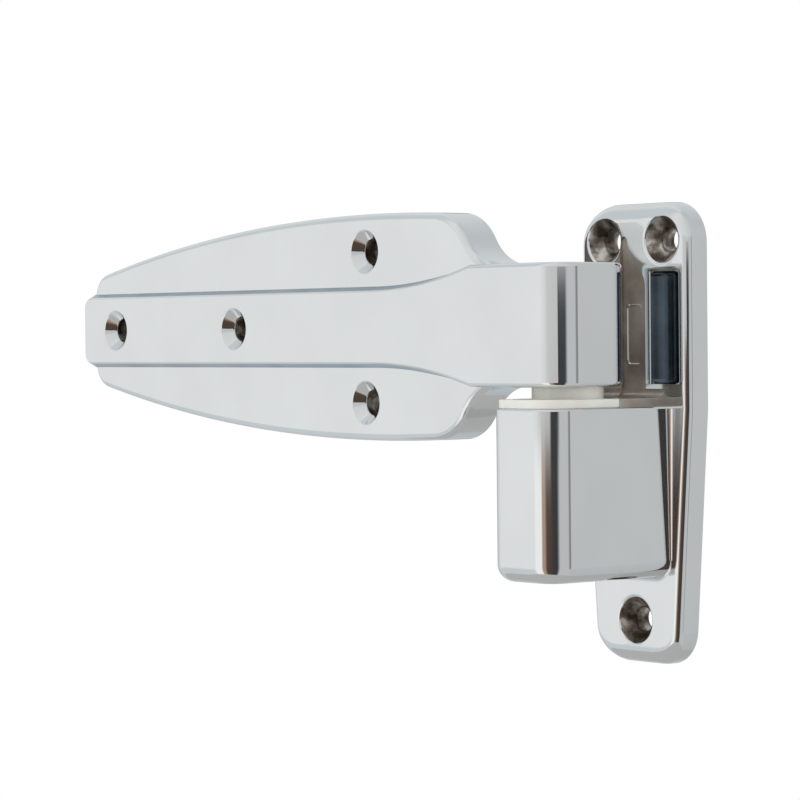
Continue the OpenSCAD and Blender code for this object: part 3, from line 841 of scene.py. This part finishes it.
# %% Scoops
RIDGE_W, SCOOP_W, SCOOP_DEPTH = 1.9, 12.0, 4.0
SCOOP_TOP, SCOOP_FOOT, SCOOP_END_R = 15.5, -17.6, 1.5
SCOOP_R = (SCOOP_W ** 2 / 4 + SCOOP_DEPTH ** 2) / 2 / SCOOP_DEPTH
RIM_R = 1.0
rim_y = SCOOP_R - SCOOP_DEPTH + RIM_R
rim_x = math.sqrt((SCOOP_R + RIM_R) ** 2 - rim_y ** 2)
rim_deg = math.degrees(math.atan2(rim_x, rim_y))


def scoop_cutter(name, x):
    """Cutter for one scoop about an upright line at x; its rolled rims get slot 1."""
    bm = bmesh.new()
    chain = chain_from(bm, x + rim_x, SCOOP_FOOT, -PLATE_T)
    arc_to(bm, chain, (x + rim_x, -PLATE_T + RIM_R), -rim_deg, 6, "Z")
    arc_to(bm, chain, (x, -PLATE_T + RIM_R - rim_y), 2 * rim_deg, 40, "Z")
    arc_to(bm, chain, (x - rim_x, -PLATE_T + RIM_R), -rim_deg, 6, "Z")
    front = [bm.verts.new((x + side * rim_x, -PLATE_T - OVERSHOOT, SCOOP_FOOT)) for side in (-1, 1)]
    raise_face(bm, bm.faces.new(chain + front), (0, 0, SCOOP_TOP - SCOOP_FOOT))
    ends = [e for e in bm.edges if near(e.verts[0].co.z, e.verts[1].co.z)
            and all(v.co.y > -PLATE_T + RIM_R / 2 for v in e.verts)]
    round_edges(bm, ends, SCOOP_END_R, 6)
    # the hollow gets the dark plate of painted shade and painted reflection, the rolled rims chrome
    for face in bm.faces:
        face.material_index = int(face.calc_center_median().y < -PLATE_T + RIM_R / 2)
    return to_object(name, bm, scoop_painted_shade_plate, chrome)


scoop_x = LAND_HALF + RIDGE_W + SCOOP_W / 2
scoops = [scoop_cutter("scoop", side * scoop_x) for side in (-1, 1)]
print("scoops of radius", SCOOP_R)

# %% Frame in the recess
FRAME_HALF, FRAME_LOW, FRAME_HIGH, FRAME_R = 3.05, -11.8, 6.0, 1.3
FRAME_RIM, FRAME_OUT, FRAME_FLOOR, FRAME_SOFT = 0.6, 0.4, 0.2, 0.12

bm = bmesh.new()
block_of(bm, (-FRAME_HALF, LAND_Y - FRAME_OUT, FRAME_LOW), (FRAME_HALF, LAND_Y + SUNK, FRAME_HIGH))
corners = [e for e in bm.edges if not near(e.verts[0].co.y, e.verts[1].co.y)]
round_edges(bm, corners, FRAME_R, 6)
inside = min(bm.faces, key=lambda f: f.calc_center_median().y)
bmesh.ops.inset_region(bm, faces=[inside], thickness=FRAME_RIM, use_even_offset=True)
bmesh.ops.translate(bm, vec=(0, FRAME_OUT + FRAME_FLOOR, 0), verts=inside.verts)
rims = [e for e in bm.edges if all(near(v.co.y, LAND_Y - FRAME_OUT) for v in e.verts)
        and any(abs(f.normal.y) < 0.9 for f in e.link_faces)]
round_edges(bm, rims, FRAME_SOFT, 2)
plain_frame = to_object("plain_frame", bm, chrome)
print("frame:", len(plain_frame.data.polygons), "faces")

# %% Hollow above the ledge, core and bores
LEDGE_ROOT_R, BLOCK_WALL = 2.5, 4
core_half = BLOCK_HALF - BLOCK_WALL


def ledge_hollow(name, half_x, y_wall):
    """Strip with a hollow front that fills the corner above the ledge."""
    bm = bmesh.new()
    chain = [bm.verts.new((-half_x, y_wall - LEDGE_ROOT_R, LEDGE_TOP))]
    arc_to(bm, chain, (y_wall - LEDGE_ROOT_R, LEDGE_TOP + LEDGE_ROOT_R), 90, 8, "X")
    for y, z in ((y_wall + SUNK, LEDGE_TOP + LEDGE_ROOT_R), (y_wall + SUNK, LEDGE_TOP - SUNK),
                 (y_wall - LEDGE_ROOT_R, LEDGE_TOP - SUNK)):
        chain.append(bm.verts.new((-half_x, y, z)))
    raise_face(bm, bm.faces.new(chain), (2 * half_x, 0, 0))
    return to_object(name, bm, dull_plate)


bm = bmesh.new()
block_of(bm, (-core_half, AXIS_Y + core_half, block_low + BLOCK_WALL),
         (core_half, OVERSHOOT, BLOCK_TOP - BLOCK_WALL))
block_core = to_object("block_core", bm, core_skin)

combine(flange, "UNION", ledge_hollow("outer_hollow", ledge_half, -PLATE_T))
combine(flange, "DIFFERENCE", land, *scoops)
combine(flange, "UNION", ledge_hollow("inner_hollow", LAND_HALF, LAND_Y), plain_frame)
combine(flange, "DIFFERENCE", block_core,
        bore_cutter("pin_bore", PIN_R + PIN_CLEAR, pin_low.z, LEDGE_TOP, cast_skin),
        screw_cutter("flange_screws", FLANGE_HOLES, FLANGE_SINK_R, FLANGE_LIP_R, -PLATE_T, 0, FLANGE_LIP_R))
dull_back(flange, 0, dull_plate)
polish(flange)
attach(flange, "flange")
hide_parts("flange")
print("flange casting:", len(flange.data.polygons), "faces")

# %% [markdown]
# ## Cams
# Each cam is a ring whose end climbs and falls twice round the pin, so a quarter turn
# of the strap lifts it from the valleys onto the peaks. The ring is a spun section with
# a soft edge. Every vertex of the section's ramp end is then moved along the pin by the
# share of the lift at its bearing, which is how a screw thread is made from a ring.

# %% Cam rings
RAMP_LOW = cam_high.z - CAM_RISE
CAM_BORE_R = PIN_R + CAM_CLEAR
CAM_BACK = LEDGE_Y - SEAT_CLEAR
SOFT = 0.4


def lift_at(co):
    """Share of the lift at a bearing about the pin: 0 in the valleys, 1 on the peaks."""
    turn = math.degrees(math.atan2(co.y - AXIS_Y, co.x)) % 180
    return min(turn, 180 - turn) / 90


def cam_ring(bm, r_out, z_flat, z_ramp):
    """Spun ring with a flat end and a ramped end, whose valley is at z_ramp."""
    up = math.copysign(1, z_ramp - z_flat)
    soft = [(1 - math.sin(math.radians(a)), 1 - math.cos(math.radians(a))) for a in (0, 30, 60, 90)]
    section = [(CAM_BORE_R, z_flat)]
    section += [(CAM_BORE_R + SOFT * c, z_ramp - up * SOFT * s) for s, c in soft]
    section += [(r_out - SOFT * c, z_ramp - up * SOFT * s) for s, c in reversed(soft)]
    section += [(r_out, z_flat)]
    verts = [bm.verts.new((r, AXIS_Y, z)) for r, z in section]
    edges = [bm.edges.new(pair) for pair in zip(verts, verts[1:] + verts[:1])]
    bmesh.ops.spin(bm, geom=verts + edges, cent=(0, AXIS_Y, 0), axis=(0, 0, 1),
                   angle=2 * math.pi, steps=144, use_merge=True)
    for v in bm.verts:
        if abs(v.co.z - z_ramp) < SOFT + 1e-3:
            v.co.z += CAM_RISE * lift_at(v.co)


# %% Lower cam
bm = bmesh.new()
cam_ring(bm, CAM_R, LEDGE_TOP, RAMP_LOW)
ring = to_object("lower_ring", bm, acetal)

bm = bmesh.new()
block_of(bm, (cam_low.x, cam_low.y, BLOCK_TOP), (cam_high.x, CAM_BACK, LEDGE_TOP))
corners = [e for e in bm.edges if all(near(v.co.y, cam_low.y) for v in e.verts)
           and near(e.verts[0].co.x, e.verts[1].co.x)]
round_edges(bm, corners, BLOCK_R - CAM_INSET, 16)
rims = [e for e in bm.edges if near(e.verts[0].co.z, e.verts[1].co.z)
        and not all(near(v.co.y, CAM_BACK) for v in e.verts)]
round_edges(bm, rims, RIM_SOFT, 3)
lower_cam = to_object("lower_cam_moulding", bm, acetal)
combine(lower_cam, "DIFFERENCE",
        bore_cutter("cam_bore", CAM_BORE_R, BLOCK_TOP - OVERSHOOT, LEDGE_TOP + OVERSHOOT, acetal))
combine(lower_cam, "UNION", ring)
print("lower cam climbs", CAM_RISE, "mm")

# %% Upper cam
bm = bmesh.new()
cam_ring(bm, CAM_R + CAM_CLEAR - SEAT_CLEAR, CAM_TOP, RAMP_LOW + RAMP_GAP)
upper_cam = to_object("upper_cam_moulding", bm, acetal)
bm = bmesh.new()
for side in (-1, 1):
    inner, outer = sorted((AXIS_Y + side * (CAM_BORE_R + SUNK), AXIS_Y + side * (KEY_REACH - SEAT_CLEAR)))
    block_of(bm, (-KEY_HALF, inner, CROWN_LOW), (KEY_HALF, outer, CAM_TOP))
combine(upper_cam, "UNION", to_object("keys", bm, acetal))

for piece, node, body in ((lower_cam, "lower_cam", "flange"), (upper_cam, "upper_cam", "strap")):
    polish(piece)
    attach(piece, body)
    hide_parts(node)
    print(node, len(piece.data.polygons), "faces")

# %% [markdown]
# ## Pin
# The pin's solid is already right, a plain bar with two chamfers, so it only gets its
# finish.

# %% Finish of the pin
pin = frame["nodes"]["hinge_pin"]
pin.data.materials.clear()
pin.data.materials.append(ground_steel)
print("hinge_pin is", ground_steel.name)

# %% [markdown]
# ## Studio
# Chrome shows its surroundings, so the studio is part of the finish. Round the hinge
# stands a pale tent, drawn as the world's colour by compass bearing and height. It has
# a brighter front, a white reflector low in front, and a dark gap where the camera
# looks in, which ends just above the horizon. Mirror and glass rays see the tent with
# those openings, camera rays see its white cloth, and the light that reaches matt
# surfaces is even. An image of a real studio would do the same, but can't be adjusted.
# In a Mix node of colours, inputs 6 and 7 and output 2 are the colours.

# %% Bearing and height of a ray
world = bpy.data.worlds.new("pale_tent")
bpy.context.scene.world = world
world.use_nodes = True
tree = world.node_tree
backdrop = tree.nodes["Background"]
ray = add_node(tree, "ShaderNodeTexCoord").outputs["Generated"]
split = add_node(tree, "ShaderNodeSeparateXYZ", {"Vector": ray})
height = split.outputs["Z"]
toward = add_node(tree, "ShaderNodeMath", {0: split.outputs["Y"]}, operation="MULTIPLY")
toward.inputs[1].default_value = -1
turn = add_node(tree, "ShaderNodeMath", {0: split.outputs["X"], 1: toward.outputs[0]}, operation="ARCTAN2")
bearing_share = add_node(tree, "ShaderNodeMapRange", {"Value": turn.outputs[0]},
                         **{"From Min": -math.pi, "From Max": math.pi}).outputs["Result"]
print("world nodes so far:", len(tree.nodes))

# %% Tent
# Each ring of the tent has colours by bearing, where 0 is straight out of the wall and 90
# is along +X, and the heights in degrees over which it takes over from the ring before.
BACK_LEFT = ((-180, "#6E7883"), (-128, "#8C97A2"), (-104, "#C9CED2"))
FRONT = ((-75, "#EEEFEF"), (-30, "#F0F1F1"), (-8, "#E4E5E5"), (2, "#D3D4D4"))
RIGHT = ((110, "#C8C9CA"), (115, "#8B8C8D"), (120, "#8B8C8D"), (124, "#CDCECE"), (180, "#B4B9BD"))
LOW_FRONT = ((-19, "#FFFFFF"), (6, "#FFFFFF"), (10, "#B09786"), (19, "#B09786"), (26, "#57473E"),
             (60, "#3D3B3B"), (66, "#3A4146"), (76, "#C8C9CA"))
TENT = (
    ((0, 0), BACK_LEFT + FRONT + ((70, "#CBCCCC"),) + RIGHT),
    ((10, 20), ((-180, "#CDD1D4"), (-100, "#E4E6E7"), (-76, "#D2D8DC"), (-50, "#D2D8DC"),
                (-28, "#E9EAEA"), (10, "#E4E5E5"), (100, "#D3D5D6"), (150, "#C6C9CB"), (180, "#CDD1D4"))),
    ((1.6, 1.2), BACK_LEFT + FRONT + ((40, "#CFCFCE"), (46, "#3D3B3B"), (70, "#3A4146"), (79, "#C8C9CA"))
     + RIGHT),
    ((-1.5, -2.6), BACK_LEFT + ((-75, "#EEEFEF"), (-24, "#F0F1F1")) + LOW_FRONT + RIGHT),
    ((-8, -18), ((-180, "#B4BBC0"), (-104, "#C9CED2"), (-76, "#D2D8DC"), (-50, "#D2D8DC"), (-26, "#DCDDDD"))
     + LOW_FRONT + ((124, "#C8C9CA"), (180, "#B4BBC0"))),
)
tent = None
for heights, colours in TENT:
    ring = add_node(tree, "ShaderNodeValToRGB", {"Fac": bearing_share},
                    stops=[((b + 180) / 360, colour) for b, colour in colours]).outputs["Color"]
    if tent is None:
        tent = ring
        continue
    start, full = (math.sin(math.radians(a)) for a in heights)
    part = add_node(tree, "ShaderNodeMapRange", {"Value": height}, interpolation_type="SMOOTHSTEP",
                    **{"From Min": start, "From Max": full}).outputs["Result"]
    tent = add_node(tree, "ShaderNodeMix", {"Factor": part, 6: tent, 7: ring}, data_type="RGBA").outputs[2]
print("tent of", len(TENT), "rings")

# %% What each kind of ray sees
EVEN_LIGHT, CLOTH = "#E8E8E8", "#FFFFFF"
paths = add_node(tree, "ShaderNodeLightPath").outputs
mirrors = add_node(tree, "ShaderNodeMath", {0: paths["Is Glossy Ray"], 1: paths["Is Transmission Ray"]},
                   operation="MAXIMUM").outputs[0]
lit = add_node(tree, "ShaderNodeMix", {"Factor": mirrors, 7: tent}, data_type="RGBA")
lit.inputs[6].default_value = linear(EVEN_LIGHT)
seen = add_node(tree, "ShaderNodeMix", {"Factor": paths["Is Camera Ray"], 6: lit.outputs[2]},
                data_type="RGBA")
seen.inputs[7].default_value = linear(CLOTH)
tree.links.new(seen.outputs[2], backdrop.inputs["Color"])
print("world:", world.name)

# %% [markdown]
# ## Floor and lamp
# The hinge hangs well above a pale round floor, which keeps its faint shadow. The floor
# glows a little to the camera, so that it is as white as the cloth, and hardly at all
# to the chrome. One soft lamp gives the matt pieces their light and shade. Mirrors
# don't show it, because the tent is what the chrome shows.

# %% Floor
FLOOR_DROP, FLOOR_R = 250, 330
FLOOR_GLOW, FLOOR_MIRRORED = 0.65, 0.06
floor_material, tree, shader, _ = new_material("pale_floor")
shader.inputs["Base Color"].default_value = linear("#B4B4B3")
shader.inputs["Roughness"].default_value = 0.9
shader.inputs["Emission Color"].default_value = (1, 1, 1, 1)
paths = add_node(tree, "ShaderNodeLightPath").outputs
mirrors = add_node(tree, "ShaderNodeMath", {0: paths["Is Glossy Ray"], 1: paths["Is Transmission Ray"]},
                   operation="MAXIMUM")
mirrored = add_node(tree, "ShaderNodeMath", {0: mirrors.outputs[0]}, operation="MULTIPLY")
mirrored.inputs[1].default_value = FLOOR_MIRRORED
glow = add_node(tree, "ShaderNodeMath", {0: paths["Is Camera Ray"], 2: mirrored.outputs[0]},
                operation="MULTIPLY_ADD")
glow.inputs[1].default_value = FLOOR_GLOW
tree.links.new(glow.outputs[0], shader.inputs["Emission Strength"])
bm = bmesh.new()
bmesh.ops.create_circle(bm, cap_ends=True, segments=96, radius=FLOOR_R)
bmesh.ops.translate(bm, vec=((strap_low.x + flange_high.x) / 2, AXIS_Y, flange_low.z - FLOOR_DROP),
                    verts=bm.verts)
floor = to_object("floor", bm, floor_material)
print("floor at z", round(floor.data.vertices[0].co.z, 3))

# %% Lamp
LAMP_AT, LAMP_AIM = Vector((-0.9, -1.6, 1.5)), Vector((0, -0.03, -0.02))
LAMP_SIZE, LAMP_WATTS = 1.2, 12
lamp = bpy.data.lights.new("key", "AREA")
lamp.shape = "DISK"
lamp.size = LAMP_SIZE
lamp.energy = LAMP_WATTS
key = bpy.data.objects.new("key", lamp)
key.location = LAMP_AT
key.rotation_euler = (LAMP_AIM - LAMP_AT).to_track_quat("-Z", "Y").to_euler()
key.visible_glossy = False
bpy.context.scene.collection.objects.link(key)
print("lamp of", LAMP_WATTS, "W")

# %% [markdown]
# ## Camera
# The photograph was taken with a long lens from the strap's knuckle end, almost level
# with the hinge. These values come from matching the hinge's known edges.

# %% Camera
VIEW_TURN, VIEW_RISE, VIEW_ROLL = 51.01, 1.168, -0.567
CAMERA_AT = Vector((0.681719, -0.649662, -0.002697))
LENS_MM, SENSOR_MM = 141.73, 36

turn, rise, roll = (math.radians(a) for a in (VIEW_TURN, VIEW_RISE, VIEW_ROLL))
back = Vector((math.sin(turn) * math.cos(rise), -math.cos(turn) * math.cos(rise), math.sin(rise)))
level = Vector((math.cos(turn), math.sin(turn), 0))
above = back.cross(level)
right = level * math.cos(roll) + above * math.sin(roll)
up = above * math.cos(roll) - level * math.sin(roll)
lens = bpy.data.cameras.new("camera")
lens.lens, lens.sensor_width = LENS_MM, SENSOR_MM
camera = bpy.data.objects.new("camera", lens)
camera.matrix_world = Matrix((
    (right.x, up.x, back.x, CAMERA_AT.x), (right.y, up.y, back.y, CAMERA_AT.y),
    (right.z, up.z, back.z, CAMERA_AT.z), (0, 0, 0, 1)))
bpy.context.scene.collection.objects.link(camera)
bpy.context.scene.camera = camera
bpy.context.scene.view_settings.view_transform = "Standard"
print("camera at", tuple(round(c, 3) for c in CAMERA_AT))
